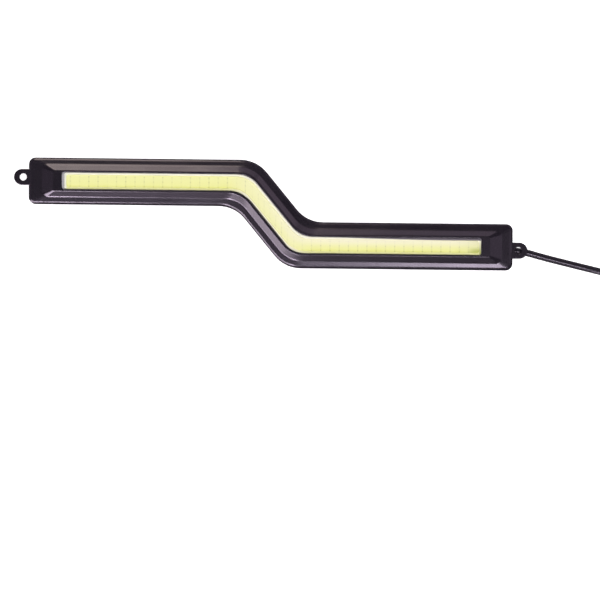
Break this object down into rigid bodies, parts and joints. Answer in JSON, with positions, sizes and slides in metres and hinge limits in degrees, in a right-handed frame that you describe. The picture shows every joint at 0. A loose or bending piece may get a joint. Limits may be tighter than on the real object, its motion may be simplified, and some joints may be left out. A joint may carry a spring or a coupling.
{
  "type": "daytime running light",
  "caption": "Z-shaped daytime running light: a gloss black housing with a stepped bezel, a yellow chip-on-board strip in a slot, a screw ear at each end and a thin lead.",
  "frame": {"origin": "middle of the back face, on the surface that the lamp lies on", "axes": "+X along the arms towards the end with the cable, +Y across them towards the other arm, +Z out of the light"},
  "size_m": [0.3054, 0.0576, 0.0094],
  "materials": {
    "gloss_black_abs": "gloss moulded ABS",
    "matt_black_abs": "fine spark-eroded texture",
    "white_board": "white solder mask",
    "clear_silicone": "cured silicone",
    "light_chip": "polished die",
    "white_silicone": "smooth silicone bead",
    "yellow_phosphor_silicone": "smooth poured silicone",
    "component_black": "moulded epoxy",
    "solder": "bright solder",
    "red_insulation": "satin PVC",
    "black_insulation": "satin PVC",
    "black_rubber": "matt rubber",
    "black_cable_jacket": "satin PVC",
    "tie_plastic": "satin plastic",
    "tinned_copper": "tinned strands"
  },
  "bodies": {
    "root": {"housing": "gloss_black_abs", "back_cover": "matt_black_abs", "led_board": "white_board", "slot_seal": "clear_silicone", "led_chips": "light_chip", "gel_dam": "white_silicone", "phosphor_gel": "yellow_phosphor_silicone", "chip_resistors": "component_black", "polarity_diode": "component_black", "solder_joints": "solder", "red_wire": "red_insulation", "black_wire": "black_insulation", "seal_block": "black_rubber", "cable": "black_cable_jacket", "cable_coil": "black_cable_jacket", "coil_tie": "tie_plastic", "cable_tail": "black_cable_jacket", "red_lead": "red_insulation", "black_lead": "black_insulation", "tinned_tips": "tinned_copper"}
  },
  "joints": []
}
